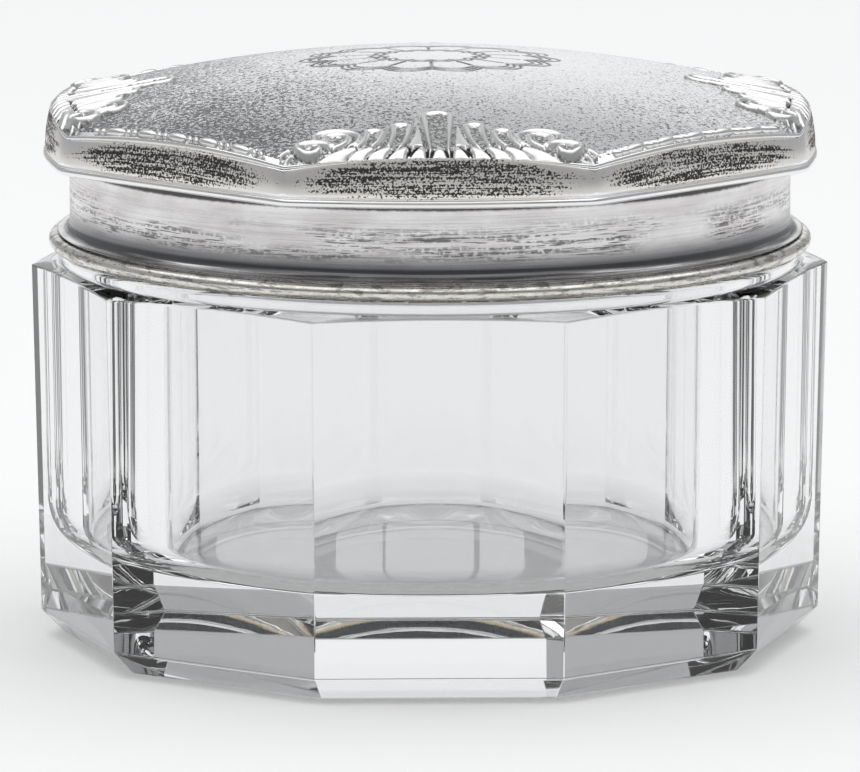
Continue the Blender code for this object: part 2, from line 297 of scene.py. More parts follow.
def sharp_rim(angle):
    """Plan radius of the rim: an octagon with bowed sides, four of them fuller."""
    index, across = section_place(angle)
    middle = np.where(index % 2 == 0, SHELL_SIDE_R, PLAIN_SIDE_R)
    chord = RIM_CORNER_R * math.cos(SECTION / 2.0)
    return chord / np.cos(across * SECTION / 2.0) + (middle - chord) * (1.0 - across ** 2)


def rim_radius(angle):
    """The rim's plan radius with its corners softened."""
    angle = np.asarray(angle, float)
    spread = np.radians(np.linspace(-CORNER_SOFTNESS, CORNER_SOFTNESS, 9))
    return np.mean([sharp_rim(angle + offset) for offset in spread], 0)


def band_top(angle):
    """Height of the band's top edge."""
    return BAND_TOP + BAND_ARCH * (1.0 - section_place(np.asarray(angle, float))[1] ** 2)


def band_step(angle):
    """Height of the step and groove over the band's face, which die out under a shell."""
    index, across = section_place(np.asarray(angle, float))
    return (0.75 + np.where(index % 2 == 0, -0.7, 0.45) * (1.0 - across ** 2)) * MM


def dome_height(radius):
    return LID_H - DOME_R + np.sqrt(DOME_R ** 2 - radius ** 2)


def smoothstep(value):
    value = np.clip(value, 0.0, 1.0)
    return value * value * (3.0 - 2.0 * value)


def lid_height(radius, angle):
    """Height of the plain lid top: the dome, with a slope down to the band along its edge."""
    inset = rim_radius(angle) - BAND_LEAN - radius
    dome = dome_height(radius)
    seat_top = dome_height(rim_radius(angle) - BAND_LEAN - SEAT)
    drop = (seat_top - band_top(angle)) * (1.0 - smoothstep(inset / SEAT))
    return np.where(inset < SEAT, np.minimum(dome, seat_top) - drop, dome)


# Profile of the band, in mm outwards from its leaning face
BAND_STEP = (                     # and down from its top edge, as a part of the step's height
    (-0.25, -0.02),
    (-0.08, 0.04),
    (0.0, 0.16),
    (0.02, 0.4),
    (0.0, 0.54),
    (-0.1, 0.64),
    (-0.22, 0.7),
    (-0.2, 0.78),
    (-0.05, 0.86),
)
BAND_BULGE = 0.18 * MM            # how full the face is
BAND_GROOVE = ((-0.08, 1.42), (-0.16, 1.34), (-0.08, 1.26), (0.02, 1.2))      # and up from the rim, in mm
FACE_LOW = 1.55 * MM              # from the rim to the face
ROLL_R = 0.6 * MM                 # radius of the rolled edge


def lid_rows():
    """Rows of the lid's sheet: the dome, its seat, the band, the rolled edge, and back inside."""
    angles = np.arange(LID_COLUMNS) * 2.0 * math.pi / LID_COLUMNS
    cos, sin = np.cos(angles), np.sin(angles)
    rim = rim_radius(angles)
    edge = rim - BAND_LEAN
    top = band_top(angles)
    rows = []

    def add(radius, height):
        radius = np.broadcast_to(radius, angles.shape)
        rows.append(np.stack([radius * cos, radius * sin, np.broadcast_to(height, angles.shape)], -1))

    fine = np.arange(0.3 * MM, ENGRAVED_REACH, ENGRAVED_GRID)
    for radius in fine:
        add(radius, dome_height(radius) + engraving(radius * cos, radius * sin))
    seat = edge - SEAT
    for part in np.linspace(0.0, 1.0, 36)[1:]:
        radius = fine[-1] + (seat - fine[-1]) * part
        add(radius, dome_height(radius))
    for part in np.linspace(0.0, 0.82, 14)[1:]:
        radius = seat + SEAT * part
        add(radius, lid_height(radius, angles))
    lean = BAND_LEAN / (top - RIM_LOW)

    def on_band(out, height):
        add(edge + lean * (top - height) + out, height)

    step = band_step(angles)
    for out, part in BAND_STEP:
        on_band(out * MM * np.minimum(step / MM, 1.0), top - part * step)
    face_low = RIM_LOW + FACE_LOW
    for part in np.linspace(0.0, 1.0, 12):
        height = top - step + (face_low - top + step) * part
        on_band(BAND_BULGE * np.sin(math.pi * part), height)
    for out, up in BAND_GROOVE:
        on_band(out * MM, RIM_LOW + up * MM)
    for radius, height in arc((0.0, 0.0), (ROLL_R, ROLL_R), 65, -90, 10):
        add(rim - ROLL_R + radius, RIM_LOW + ROLL_R + height)
    add(rim - 2.0 * ROLL_R, RIM_LOW)
    # inner side of the sheet
    add(rim - 2.0 * ROLL_R - 0.05 * MM, RIM_LOW + SHEET)
    add(edge - SHEET + 0.4 * MM, RIM_LOW + SHEET + 0.4 * MM)
    add(edge - SHEET, top - SHEET)
    for part in (1.0, 0.9, 0.75, 0.5, 0.25):
        add(seat * part, dome_height(seat * part) - SHEET)
    return rows


def lid_dome():
    """The lid's top.

    Its attributes say where the patina goes.  band_tarnish is a lens on each side of the band's face
    and -1 off it, dome is the part of the way from the apex to the rim and -1 off the outer side of
    the dome, and cut is 1 at the bottom of an engraved line."""
    obj = loft("lid_dome_struck", lid_rows(), poles=((0, 0, LID_H), (0, 0, LID_H - SHEET)))
    strip_attribute(obj)
    x, y, z = points_of(obj).T
    angle = np.arctan2(y, x)
    reach = np.hypot(x, y)
    across = section_place(angle)[1]
    low = RIM_LOW + FACE_LOW + 0.05 * MM
    high = band_top(angle) - band_step(angle)
    up = (z - low) / (high - low) * 2.0 - 1.0
    lens = 1.15 - (np.abs(across) / 0.86) ** 3.0 - np.abs(up) ** 2.4 * 0.9
    on_face = reach > rim_radius(angle) - BAND_LEAN - 0.3 * MM
    attribute(obj, "band_tarnish", np.where(on_face, np.clip(lens, -1.0, 1.0), -1.0))
    outer = z > dome_height(reach) - 0.5 * SHEET
    on_dome = outer & (z > band_top(angle) - 0.2 * MM)
    attribute(obj, "dome", np.where(on_dome, reach / rim_radius(angle), -1.0))
    depth = np.clip(-engraving(x, y) / (0.75 * ENGRAVED_DEEP), 0.0, 1.0)
    attribute(obj, "cut", np.where(outer & (reach < ENGRAVED_REACH), depth, 0.0))
    obj.data.materials.append(lid_material())
    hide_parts("lid_dome")
    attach(obj, "lid")


# ---------------------------------------------------------------- engraving

def nearest(u, v, points):
    """Distance to a polyline, and how far along it the nearest point is, from 0 to 1."""
    points = np.asarray(points, float)
    lengths = np.hypot(*(points[1:] - points[:-1]).T)
    starts = np.concatenate([[0.0], np.cumsum(lengths)])
    best = np.full(u.shape, 1e9)
    along = np.zeros(u.shape)
    for i, (a, b) in enumerate(zip(points[:-1], points[1:])):
        step = b - a
        part = np.clip(((u - a[0]) * step[0] + (v - a[1]) * step[1]) / (step @ step), 0.0, 1.0)
        gap = np.hypot(u - a[0] - part * step[0], v - a[1] - part * step[1])
        closer = gap < best
        best = np.where(closer, gap, best)
        along = np.where(closer, (starts[i] + part * lengths[i]) / starts[-1], along)
    return best, along


def spiral(centre, radii, turn, steps=26):
    """Points round centre, with the radius and the angle in degrees going from first to second."""
    points = []
    for part in np.linspace(0.0, 1.0, steps):
        angle = math.radians(turn[0] + (turn[1] - turn[0]) * part)
        reach = radii[0] + (radii[1] - radii[0]) * part
        points.append((centre[0] + reach * math.cos(angle), centre[1] + reach * math.sin(angle)))
    return points


# Engraved on the dome: a rosette of scalloped ovals, one inside the other, joined by veins, in mm
ROSETTE_HALF = (18.5, 14.0)       # half length and half width
ROSETTE_RINGS = (1.0, 0.93, 0.86, 0.46, 0.39)
ROSETTE_VEINS = (0.52, 0.80)      # from the inner ovals to the outer ones
SCALLOPS = 14
SCALLOP_DEEP = 0.13
ENGRAVED_HALF = 0.4               # half width of a cut
ENGRAVED_DEEP = 0.16 * MM
ENGRAVED_REACH = 20.0 * MM        # the dome's mesh is fine out to here
ENGRAVED_GRID = 0.13 * MM


def rosette_place(scale, angle):
    """A place on the scalloped oval of this scale."""
    reach = scale * (1.0 - SCALLOP_DEEP * (1.0 - abs(math.cos(0.5 * SCALLOPS * angle))))
    return (ROSETTE_HALF[0] * reach * math.cos(angle), ROSETTE_HALF[1] * reach * math.sin(angle))


def rosette_strokes():
    """The cuts of the rosette's right half, which the left half mirrors."""
    half_turn = np.linspace(-0.5 * math.pi, 0.5 * math.pi, 85)
    strokes = [[rosette_place(scale, angle) for angle in half_turn] for scale in ROSETTE_RINGS]
    for index in range(-SCALLOPS // 4, SCALLOPS // 4 + 1):
        angle = (2 * index + 1) * math.pi / SCALLOPS
        strokes.append([rosette_place(scale, angle) for scale in ROSETTE_VEINS])
    return strokes


def engraving(x, y):
    """Depth of the engraved rosette on the dome, zero or negative."""
    u = np.abs(x) / MM
    v = y / MM
    depth = np.zeros(np.shape(u))
    for points in rosette_strokes():
        distance = nearest(u, v, points)[0]
        depth = np.minimum(depth, -ENGRAVED_DEEP * np.clip(1.0 - distance / ENGRAVED_HALF, 0.0, 1.0))
    return depth


# ---------------------------------------------------------------- shells

# In mm: u runs along the rim from the shell's middle, and v inwards from the band's top edge.  Rays
# fan out from the foot.  Each is a channel with a rolled lip round its head, the last one is a wide
# arch round a smaller one, and a scroll closes each end.
SHELL_HALF = 21.0                 # half width along the rim
SHELL_TALL = 17.5                 # how far the middle ray reaches in
RAYS = (                          # place and half width as parts of SHELL_HALF, reach as one of SHELL_TALL
    (0.0, 0.09, 1.0),
    (0.24, 0.055, 0.7),
    (0.42, 0.055, 0.56),
    (0.67, 0.15, 0.56),
)
SWEEP = 0.45                      # how much farther out a ray's foot lies than its head
LIP_HALF = 0.5
LIP_RISE = 1.7
LOBE_RISE = 1.5
CHANNEL_RISE = 0.45               # height of a channel's floor
VALLEY = 0.84                     # how far the ground between two rays reaches, as a part of theirs
SCROLL = ((17.6, 2.6), (2.9, 0.7), (165.0, -250.0))    # centre, radii, turn in degrees
SCROLL_HALF = 0.8
FLUTES = 6                        # at the foot, from the middle to one end
FLUTE_PITCH = 3.2
FLUTE_HALF = 1.3
FLUTE_TALL = 3.6
FLUTE_LEAN = 0.74                 # where a flute's upper end stands, as a part of where its foot does
FLUTE_TAPER = 0.5
FLUTE_RISE = 1.35
GROOVE = 0.34                     # width of the groove round a flute's upper end, painted dark as shadow
FLATTENING = (0.14, 0.76, 9.0)    # the relief is 0.9 of a height at the foot and falls to 0.14 of it
SHELL_GRID = 0.12
SHELL_SPAN = (22.0, 19.0)         # how far the grid reaches in u and in v
SHELL_SINK = 0.3                  # how far a shell's lower side lies under the dome


def ray_line(place, half_width, reach):
    """Middle line of a ray, from its foot to the centre of its round head."""
    head = SHELL_HALF * place
    top = SHELL_TALL * reach - SHELL_HALF * half_width
    part = np.linspace(0.0, 1.0, 12)
    return list(zip(head * (1.0 + SWEEP * (1.0 - part) ** 2), top * part))


def rolled(distance, half_width):
    """Round section of a rolled lip, from 0 to 1."""
    return np.sqrt(np.clip(1.0 - (distance / half_width) ** 2, 0.0, 1.0))


def fan(side, v):
    """Height and hollows of the rays and of the ground between them, side mm from the middle."""
    place, _, reach = np.transpose(RAYS)
    ends = np.append(place * SHELL_HALF, SHELL_HALF), np.append(reach * SHELL_TALL * VALLEY, 0.0)
    outside = v - np.interp(side, *ends)
    from_lip = np.full(side.shape, 9.0)
    rays = []
    for ray in RAYS:
        distance, along = nearest(side, v, ray_line(*ray))
        width = SHELL_HALF * ray[1] * (0.6 + 0.4 * along)
        rays.append((distance, along, width))
        from_lip = np.minimum(from_lip, distance - width - LIP_HALF)
    from_lip = np.maximum(from_lip, 0.0)
    lobe = LOBE_RISE * np.sqrt(1.0 - np.exp(-from_lip / 0.5))
    height = np.where(outside < 0.0, lobe * smoothstep(-outside / 0.9), -0.4)
    hollow = np.where(from_lip > 0.45, 0.0, 1.0)
    for index, (distance, along, width) in enumerate(rays):
        height = np.where(distance < width, CHANNEL_RISE, height)
        hollow = np.where(distance < width, 1.0, hollow)
        rings = (width, 0.5 * width) if index == len(RAYS) - 1 else (width,)
        for ring in rings:
            lip_half = LIP_HALF * (0.5 + 0.5 * along)
            lip = rolled(distance - ring, lip_half)
            height = np.where(lip > 0.0, np.maximum(height, LIP_RISE * (0.7 + 0.3 * along) * lip), height)
            hollow = np.where(lip > 0.1, 0.0, hollow)
    return height, hollow


def with_scroll(side, v, height, hollow):
    """The same fields with the scroll laid over them, on a low round field of its own."""
    centre = np.hypot(side - SCROLL[0][0], v - SCROLL[0][1])
    height = np.where(centre < SCROLL[1][0], 0.2, height)
    hollow = np.where(centre < SCROLL[1][0], 1.0, hollow)
    distance, along = nearest(side, v, spiral(*SCROLL))
    curl = rolled(distance, SCROLL_HALF * (1.0 - 0.5 * along))
    height = np.where(curl > 0.0, np.maximum(height, LIP_RISE * curl), height)
    hollow = np.where(curl > 0.1, 0.0, hollow)
    return height, hollow


def with_flutes(side, v, height, hollow):
    """The same fields with the foot's flutes over them, and the grooves round the flutes with the painted
    shadow in them.
    """
    undercut_shadow = np.zeros(side.shape)
    for index in range(FLUTES):
        foot = FLUTE_PITCH * index
        distance, along = nearest(side, v, [(foot, -0.5), (FLUTE_LEAN * foot, FLUTE_TALL - FLUTE_HALF)])
        flute_half = FLUTE_HALF * (1.0 - FLUTE_TAPER * along)
        cut = (distance >= flute_half) & (distance < flute_half + GROOVE) & (along > 0.25)
        height = np.where(cut, np.minimum(height, 0.05), height)
        undercut_shadow = np.where(cut, 1.0, undercut_shadow)
        flute = rolled(distance, flute_half)
        height = np.where(flute > 0.0, FLUTE_RISE * flute, height)
        hollow = np.where(flute > 0.0, 0.0, hollow)
        undercut_shadow = np.where(flute > 0.0, 0.0, undercut_shadow)
    return height, hollow, undercut_shadow


def shell_relief(u, v):
    """Height of the shell over the lid's surface in mm, below -0.25 outside it, and two fields for its
    colour.

    Both run from 0 to 1: the patina in the hollows, and the painted shadow in the grooves round the flutes."""
    side = np.abs(u)
    height, hollow = with_scroll(side, v, *fan(side, v))
    height, hollow, undercut_shadow = with_flutes(side, v, height, hollow)
    low, extra, fade = FLATTENING
    height = np.where(height > 0.0, height * (low + extra * np.exp(-np.maximum(v, 0.0) / fade)), height)
    return height, hollow, undercut_shadow


def blur(values, passes):
    """Evens a grid out with its four neighbours."""
    for _ in range(passes):
        padded = np.pad(values, 1, mode="edge")
        values = (padded[:-2, 1:-1] + padded[2:, 1:-1] + padded[1:-1, :-2] + padded[1:-1, 2:]
                  + 2.0 * padded[1:-1, 1:-1]) / 6.0
    return values


def slab(name, top, bottom, keep):
    """A closed sheet from two grids of points, on the cells that keep picks."""
    rows, columns = top.shape[:2]
    used = np.zeros((rows, columns), bool)
    for a in (0, 1):
        for b in (0, 1):
            used[a:rows - 1 + a, b:columns - 1 + b] |= keep
    number = np.full((rows, columns), -1)
    number[used] = np.arange(used.sum())
    verts = np.vstack([top[used], bottom[used]]).tolist()
    below = int(used.sum())
    n00, n01 = number[:-1, :-1], number[:-1, 1:]
    n10, n11 = number[1:, :-1], number[1:, 1:]
    quads = np.stack([n00, n01, n11, n10], -1)[keep]
    faces = quads.tolist() + (quads[:, ::-1] + below).tolist()
    padded = np.pad(keep, 1)
    for (a, b), neighbour in (((n00, n01), padded[:-2, 1:-1]), ((n01, n11), padded[1:-1, 2:]),
                              ((n11, n10), padded[2:, 1:-1]), ((n10, n00), padded[1:-1, :-2])):
        wall = keep & ~neighbour
        first, second = a[wall], b[wall]
        faces += np.stack([second, first, first + below, second + below], -1).tolist()
    return build_mesh(name, verts, faces), used


def shell(name, node, turn, look):
    """One shell, turned about Z from the front, that follows the lid's surface."""
    along = np.arange(-SHELL_SPAN[0], SHELL_SPAN[0] + 0.01, SHELL_GRID)
    u, v = np.meshgrid(along, np.arange(-SHELL_GRID, SHELL_SPAN[1], SHELL_GRID))
    side = u * MM
    angle = np.arctan2(side, SHELL_SIDE_R)
    for _ in range(4):
        base = (rim_radius(angle) - BAND_LEAN) * np.cos(angle)
        angle = np.arctan2(side, base)
    inward = base - v * MM
    reach = np.hypot(side, inward)
    where = np.arctan2(side, inward)
    height, hollow, undercut_shadow = shell_relief(u, v)
    relief = blur(height, 1)
    edge = rim_radius(where) - BAND_LEAN
    over = np.maximum(reach - edge + 0.1 * MM, 0.0)
    ground = lid_height(np.minimum(reach, edge), where) - 1.6 * over
    relief = np.where(relief > 0.0, relief * np.sqrt(np.clip((v + 0.1) / 1.1, 0.0, 1.0)), relief)
    top = ground + np.maximum(relief, -SHELL_SINK) * MM
    under = ground - (SHELL_SINK + 0.1) * MM
    keep = relief > -0.25
    keep = keep[:-1, :-1] | keep[1:, :-1] | keep[:-1, 1:] | keep[1:, 1:]
    cos, sin = math.cos(turn), math.sin(turn)
    plan = (side * cos + inward * sin, side * sin - inward * cos)
    obj, used = slab(name, np.stack([*plan, top], -1), np.stack([*plan, under], -1), keep)
    for kind, values in (("hollow", blur(hollow, 2)), ("undercut_shadow", blur(undercut_shadow, 1))):
        values = values[used]
        attribute(obj, kind, np.concatenate([values, values]))
    obj.data.materials.append(look)
    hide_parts(node)
    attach(obj, "lid")


# ---------------------------------------------------------------- reeded border

# In mm
REED = (1.75, 0.68)               # half length and radius
TIE = (0.75, 0.55)
TIE_TILT = 0.9                    # how far a tie's ends lean out and in, as a part of its radius
TIE_PLACE = 0.62                  # half the distance between the two ties of a pair
BORDER_HALF = 19.6                # half length of a border
BORDER_PERIOD = 6.1
BORDER_INSET = 1.05               # from the band's top edge
BORDER_LIFT = 0.12                # of the reeds' axis over the lid's surface


def bar_on(path, middle, half_length, radius, tilt=0.0, rings=9, columns=14):
    """Points and faces of a rounded bar that follows the path round middle."""
    verts = []
    for i in range(1, rings):
        part = -math.cos(math.pi * i / rings)
        thick = radius * (1.0 - abs(part) ** 3.0) ** 0.5
        centre, out = path(middle + part * half_length)
        centre = centre + out * (tilt * part * radius)
        for j in range(columns):
            a = 2.0 * math.pi * j / columns
            verts.append(centre + out * (thick * math.cos(a)) + UP * (thick * math.sin(a)))
    faces = []
    for i in range(rings - 2):
        for j in range(columns):
            k = (j + 1) % columns
            faces.append((i * columns + j, i * columns + k, (i + 1) * columns + k, (i + 1) * columns + j))
    first, last = len(verts), len(verts) + 1
    for part in (-1.0, 1.0):
        verts.append(path(middle + part * half_length)[0] + path(middle)[1] * (part * tilt * radius))
    for j in range(columns):
        k = (j + 1) % columns
        faces.append((first, k, j))
        base = (rings - 2) * columns
        faces.append((last, base + j, base + k))
    return verts, faces


def reed_border(name, node, turn, look):
    """Reeds bound by pairs of oblique ties, along the plain side whose middle is at the angle turn."""

    def path(distance):
        angle = turn + distance * MM / (PLAIN_SIDE_R - BAND_LEAN)
        radius = float(rim_radius(angle)) - (BAND_LEAN + BORDER_INSET * MM)
        height = float(lid_height(radius, angle)) + BORDER_LIFT * MM
        out = np.array([math.cos(angle), math.sin(angle), 0.0])
        return radius * out + height * UP, out

    verts = []
    faces = []

    def put(made):
        start = len(verts)
        verts.extend(made[0])
        faces.extend(tuple(start + i for i in face) for face in made[1])

    for i in range(-3, 4):
        middle = i * BORDER_PERIOD
        if abs(middle) + REED[0] < BORDER_HALF:
            put(bar_on(path, middle, REED[0], REED[1] * MM))
        for side in (-1.0, 1.0):
            place = middle + BORDER_PERIOD / 2.0 + side * TIE_PLACE
            if abs(place) < BORDER_HALF:
                put(bar_on(path, place, TIE[0], TIE[1] * MM, TIE_TILT))
    obj = build_mesh(name, [tuple(p) for p in verts], faces)
    obj.data.materials.append(look)
    attribute(obj, "hollow", np.zeros(len(verts)))
    attribute(obj, "undercut_shadow", np.zeros(len(verts)))
    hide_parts(node)
    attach(obj, "lid")


# ---------------------------------------------------------------- skirt, ring and plate

def lid_turning(name, node, profile, look):
    """A turned piece of the lid, from its closed profile."""
    obj = loft(name, around(profile), ring=True)
    strip_attribute(obj)
    obj.data.materials.append(look)
    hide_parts(node)
    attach(obj, "lid")
    return obj


def lid_skirt():
    """The tube over the glass neck: a collar that opens upwards, a wall and a cove."""
    drop = COVE_TOP - SKIRT_LOW
    collar = 2.6 * MM
    opening = 0.42 * MM
    profile = []
    for part in np.linspace(1.0, 0.0, 10):
        profile.append((SKIRT_OUT + opening * part ** 2.2, SKIRT_HIGH - collar * (1.0 - part)))
    profile += line((SKIRT_OUT, SKIRT_HIGH - collar), (SKIRT_OUT, COVE_TOP + 0.4 * MM), 20)[1:]
    profile += arc((SKIRT_OUT + COVE_FLARE, COVE_TOP), (COVE_FLARE, drop), 180, 262, 14)
    profile += [(SKIRT_OUT + COVE_FLARE, SKIRT_LOW + 0.02 * MM)]
    profile += [(SKIRT_OUT + COVE_FLARE - 0.1 * MM, SKIRT_LOW)]
    profile += line((SKIRT_IN, SKIRT_LOW), (SKIRT_IN, SKIRT_HIGH), 6)
    obj = lid_turning("lid_skirt_drawn", "lid_skirt", profile, skirt_material())
    height = points_of(obj)[:, 2]
    attribute(obj, "rise", (height - SKIRT_LOW) / (SKIRT_HIGH - SKIRT_LOW))


def skirt_bead():
    """The half-round ring at the skirt's foot."""
    middle = (BEAD_LOW + BEAD_HIGH) / 2.0
    half = (BEAD_HIGH - BEAD_LOW) / 2.0
    profile = [(SKIRT_IN, BEAD_HIGH), (BEAD_R - BEAD_BULGE - 0.5 * MM, BEAD_HIGH)]
    profile += arc((BEAD_R - BEAD_BULGE, middle), (BEAD_BULGE, half), 90, -90, 20)
    profile += [(SKIRT_IN, BEAD_LOW)]
    obj = lid_turning("skirt_bead_turned", "skirt_bead", profile, bead_material())
    attribute(obj, "rise", (points_of(obj)[:, 2] - BEAD_LOW) / (BEAD_HIGH - BEAD_LOW))


def lid_rim_plate():
    """The flat ring between the rolled edge and the skirt."""
    angles = np.arange(TURNED_COLUMNS) * 2.0 * math.pi / TURNED_COLUMNS
    outer = rim_radius(angles) - PLATE_INSET
    inner = np.full(TURNED_COLUMNS, SKIRT_IN)
    rows = []
    for radius, height in ((outer, PLATE_HIGH), (outer, PLATE_LOW), (inner, PLATE_LOW), (inner, PLATE_HIGH)):
        level = np.full(TURNED_COLUMNS, height)
        rows.append(np.stack([radius * np.cos(angles), radius * np.sin(angles), level], -1))
    obj = loft("lid_rim_plate_sheet", rows, ring=True, flat=np.ones((len(rows), TURNED_COLUMNS), bool))
    strip_attribute(obj)
    obj.data.materials.append(inner_material())
    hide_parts("lid_rim_plate")
    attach(obj, "lid")


# ---------------------------------------------------------------- materials

class Nodes:
    """A short way to write a material's node tree."""

    def __init__(self, name):
        self.material = bpy.data.materials.new(name)
        self.material.use_nodes = True
        self.tree = self.material.node_tree
        self.shader = self.tree.nodes["Principled BSDF"]

    def feed(self, socket, value):
        if isinstance(value, bpy.types.NodeSocket):
            self.tree.links.new(value, socket)
        else:
            socket.default_value = value

    def coords(self, scale=(1.0, 1.0, 1.0), source=None):
        if source is None:
            vector = self.tree.nodes.new("ShaderNodeTexCoord").outputs["Object"]
        else:
            node = self.tree.nodes.new("ShaderNodeAttribute")
            node.attribute_name = source
            vector = node.outputs["Vector"]
        mapping = self.tree.nodes.new("ShaderNodeMapping")
        self.feed(mapping.inputs["Vector"], vector)
        mapping.inputs["Scale"].default_value = scale
        return mapping.outputs["Vector"]

    def number(self, name):
        node = self.tree.nodes.new("ShaderNodeAttribute")
        node.attribute_name = name
        return node.outputs["Fac"]

    def noise(self, vector, scale, detail=3.0, roughness=0.55, distortion=0.0):
        node = self.tree.nodes.new("ShaderNodeTexNoise")
        self.feed(node.inputs["Vector"], vector)
        node.inputs["Scale"].default_value = scale
        node.inputs["Detail"].default_value = detail
        node.inputs["Roughness"].default_value = roughness
        node.inputs["Distortion"].default_value = distortion
        return node.outputs["Fac"]

    def math(self, operation, a, b=0.0, clamp=False):
        node = self.tree.nodes.new("ShaderNodeMath")
        node.operation = operation
        node.use_clamp = clamp
        self.feed(node.inputs[0], a)
        self.feed(node.inputs[1], b)
        return node.outputs[0]

    def along_x(self, vector):
        node = self.tree.nodes.new("ShaderNodeSeparateXYZ")
        self.feed(node.inputs[0], vector)
        return node.outputs["X"]

    def remap(self, value, low, high, to_low=0.0, to_high=1.0):
        node = self.tree.nodes.new("ShaderNodeMapRange")
        node.interpolation_type = "SMOOTHSTEP"
        for socket, given in zip(node.inputs, (value, low, high, to_low, to_high)):
            self.feed(socket, given)
        return node.outputs["Result"]

    def swing(self, value, amount, middle=0.5):
        """How far the value is from the middle, times amount."""
        return self.math("MULTIPLY", self.math("SUBTRACT", value, middle), amount)

    def mix(self, factor, a, b):
        node = self.tree.nodes.new("ShaderNodeMix")
        node.data_type = "RGBA"
        self.feed(node.inputs["Factor"], factor)
        self.feed(node.inputs[6], a)
        self.feed(node.inputs[7], b)
        return node.outputs[2]

    def bump(self, height, strength, distance):
        node = self.tree.nodes.new("ShaderNodeBump")
        self.feed(node.inputs["Height"], height)
        node.inputs["Strength"].default_value = strength
        node.inputs["Distance"].default_value = distance
        return node.outputs["Normal"]


# Colours: clean silver, the patina on it, and painted shade and shadow
DOME_SILVER = (0.90, 0.90, 0.905, 1.0)
BAND_SILVER = (0.86, 0.83, 0.79, 1.0)
ORNAMENT_SILVER = (0.83, 0.825, 0.815, 1.0)
DOME_MARKS = (0.09, 0.09, 0.095, 1.0)
BAND_MARKS = (0.075, 0.065, 0.063, 1.0)
HOLLOWS = (0.12, 0.12, 0.125, 1.0)
SKIRT_MARKS = (0.07, 0.068, 0.07, 1.0)
COVE_SHADE = (0.075, 0.078, 0.085, 1.0)
CUTS = (0.045, 0.04, 0.04, 1.0)
# near-black painted shadow, in the gap under the lid's rim and in the grooves round the flutes
PAINTED_SHADOW_LINES = (0.03, 0.03, 0.032, 1.0)


def thin_lines(n, vector, scale, width, detail=2.0):
    """Thin winding lines where a noise crosses its middle, from 0 to 1."""
    field = n.noise(vector, scale, detail, 0.6, 0.4)
    away = n.math("ABSOLUTE", n.math("SUBTRACT", field, 0.5))
    return n.remap(away, width, 0.0)


def dome_marks(n, place, outward):
    """Grains and short worm-like lines, denser towards the rim and sparser on the rubbed +X side."""
    rubbed = n.remap(n.along_x(place), -30.0 * MM, 35.0 * MM)
    patches = n.swing(n.noise(place, 90.0, 3.0, 0.6), 0.12)
    dense = n.math("ADD", n.swing(outward, 0.19, 0.3), patches)
    dense = n.math("SUBTRACT", dense, n.swing(rubbed, 0.1, 0.35))
    grains = n.remap(n.math("ADD", n.noise(place, 1900.0, 3.0, 0.7), dense), 0.575, 0.635)
    worms = thin_lines(n, place, 1500.0, 0.05)
    worms = n.math("MULTIPLY", worms, n.remap(rubbed, 1.0, 0.2, 0.35, 1.0))
    speckle = n.math("MAXIMUM", n.math("MULTIPLY", worms, n.remap(outward, 0.1, 0.9)), grains)
    return n.math("MULTIPLY", speckle, n.remap(outward, 0.0, 0.04))


def band_marks(n, place, tarnish):
    """Ragged dark streaks that fill the lens on each side of the band."""
    streaks = n.noise(n.coords((1.0, 1.0, 30.0), "strip"), 110.0, 3.0, 0.6)
    fine = n.noise(place, 3200.0, 2.0, 0.6)
    field = n.math("ADD", n.math("MINIMUM", tarnish, 0.55), n.swing(fine, 3.0))
    return n.remap(n.math("ADD", field, n.swing(streaks, 2.4)), 0.40, 0.48)


def lid_material():
    n = Nodes("lid_silver")
    place = n.coords()
    tarnish = n.number("band_tarnish")
    dome_mark = dome_marks(n, place, n.number("dome"))
    band = band_marks(n, place, tarnish)
    on_band = n.remap(tarnish, -0.99, -0.9)
    colour = n.mix(n.math("MULTIPLY", dome_mark, 0.9), DOME_SILVER, DOME_MARKS)
    colour = n.mix(n.math("MULTIPLY", on_band, 0.8), colour, BAND_SILVER)
    colour = n.mix(band, colour, BAND_MARKS)
    colour = n.mix(n.math("MULTIPLY", n.number("cut"), 0.9), colour, CUTS)
    n.feed(n.shader.inputs["Base Color"], colour)
    n.shader.inputs["Metallic"].default_value = 1.0
    rough = n.math("ADD", n.math("MULTIPLY", dome_mark, 0.2), 0.22)
    rough = n.math("ADD", rough, n.math("MULTIPLY", band, 0.25))
    rough = n.math("ADD", rough, n.math("MULTIPLY", on_band, 0.16))
    n.feed(n.shader.inputs["Roughness"], rough)
    relief = n.math("SUBTRACT", 1.0, n.math("MAXIMUM", dome_mark, band))
    n.feed(n.shader.inputs["Normal"], n.bump(relief, 0.45, 0.00005))
    return n.material


def ornament_material():
    n = Nodes("ornament_silver")
    place = n.coords()
    grains = n.noise(place, 2100.0, 3.0, 0.65)
    spots = n.remap(grains, 0.43, 0.53, 0.15, 1.0)
    dark = n.math("MULTIPLY", n.remap(n.number("hollow"), 0.1, 0.6), spots)
    # painted shadow: near black in the grooves round the flutes
    undercut_shadow = n.remap(n.math("ADD", n.number("undercut_shadow"), n.swing(grains, 0.8)), 0.25, 0.6)
    colour = n.mix(n.math("MULTIPLY", dark, 0.9), ORNAMENT_SILVER, HOLLOWS)
    n.feed(n.shader.inputs["Base Color"], n.mix(undercut_shadow, colour, PAINTED_SHADOW_LINES))
    n.shader.inputs["Metallic"].default_value = 1.0
    n.feed(n.shader.inputs["Roughness"], n.math("ADD", n.math("MULTIPLY", dark, 0.15), 0.3))
    n.feed(n.shader.inputs["Normal"], n.bump(grains, 0.12, 0.00003))
    return n.material


